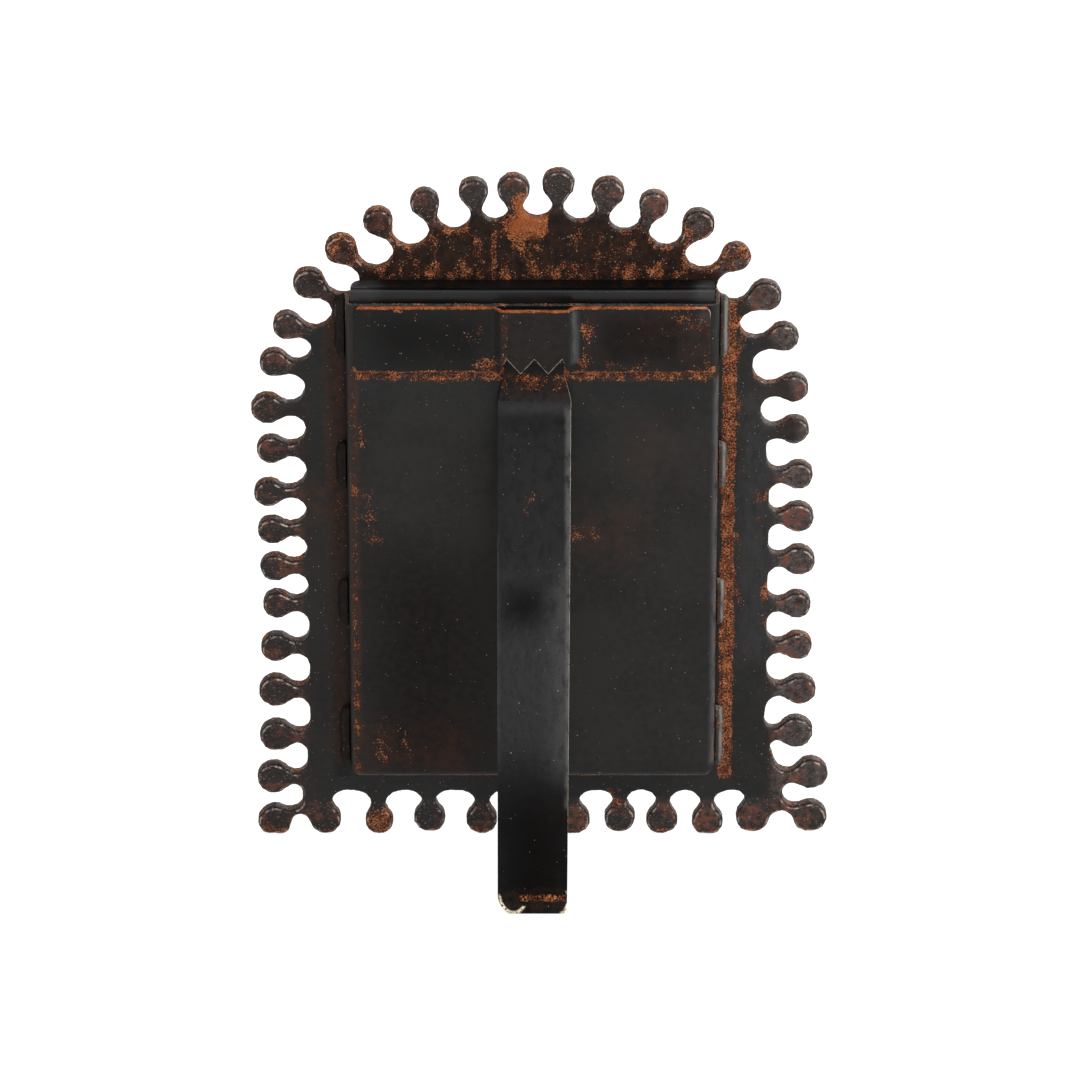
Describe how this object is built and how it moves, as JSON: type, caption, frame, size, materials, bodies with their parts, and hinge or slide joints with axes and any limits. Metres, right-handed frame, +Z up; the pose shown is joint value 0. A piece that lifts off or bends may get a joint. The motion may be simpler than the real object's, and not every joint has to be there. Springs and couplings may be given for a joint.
{
  "type": "picture frame",
  "caption": "Arched cast iron picture frame with round knobs along its edge, a slide-in picture tray and a bent easel leg held in a hanger strap.",
  "frame": {"origin": "middle of the bounding box at the surface that the frame stands on", "axes": "+Z up, the picture faces -Y, the easel leg stands behind towards +Y, +X is to the right seen from the front"},
  "size_m": [0.1688, 0.0828, 0.2145],
  "materials": {
    "casting": "dark patina over rust, rough",
    "sheet_steel": "charcoal patina with rust along the edges",
    "leg": "satin charcoal patina",
    "tray": "black satin",
    "weld": "rusted",
    "glass": "clear",
    "card": "matte",
    "board": "matte"
  },
  "bodies": {
    "frame": {"frame_casting": "casting", "back_housing": "sheet_steel", "hanger_strap": "sheet_steel", "weld_left_1": "weld", "weld_left_2": "weld", "weld_left_3": "weld", "weld_left_4": "weld", "weld_right_1": "weld", "weld_right_2": "weld", "weld_right_3": "weld", "weld_right_4": "weld"},
    "tray": {"slide_tray": "tray", "glass_pane": "glass", "insert_card": "card", "backing_board": "board"},
    "leg": {"easel_leg": "leg"}
  },
  "joints": [
    {"name": "tray_slide", "type": "slide", "parent": "frame", "child": "tray", "axis": [0, 0.2588, 0.9659], "range_m": [0, 0.15]},
    {"name": "leg_slide", "type": "slide", "parent": "frame", "child": "leg", "axis": [0, -0.2588, -0.9659], "range_m": [0, 0.02]}
  ]
}
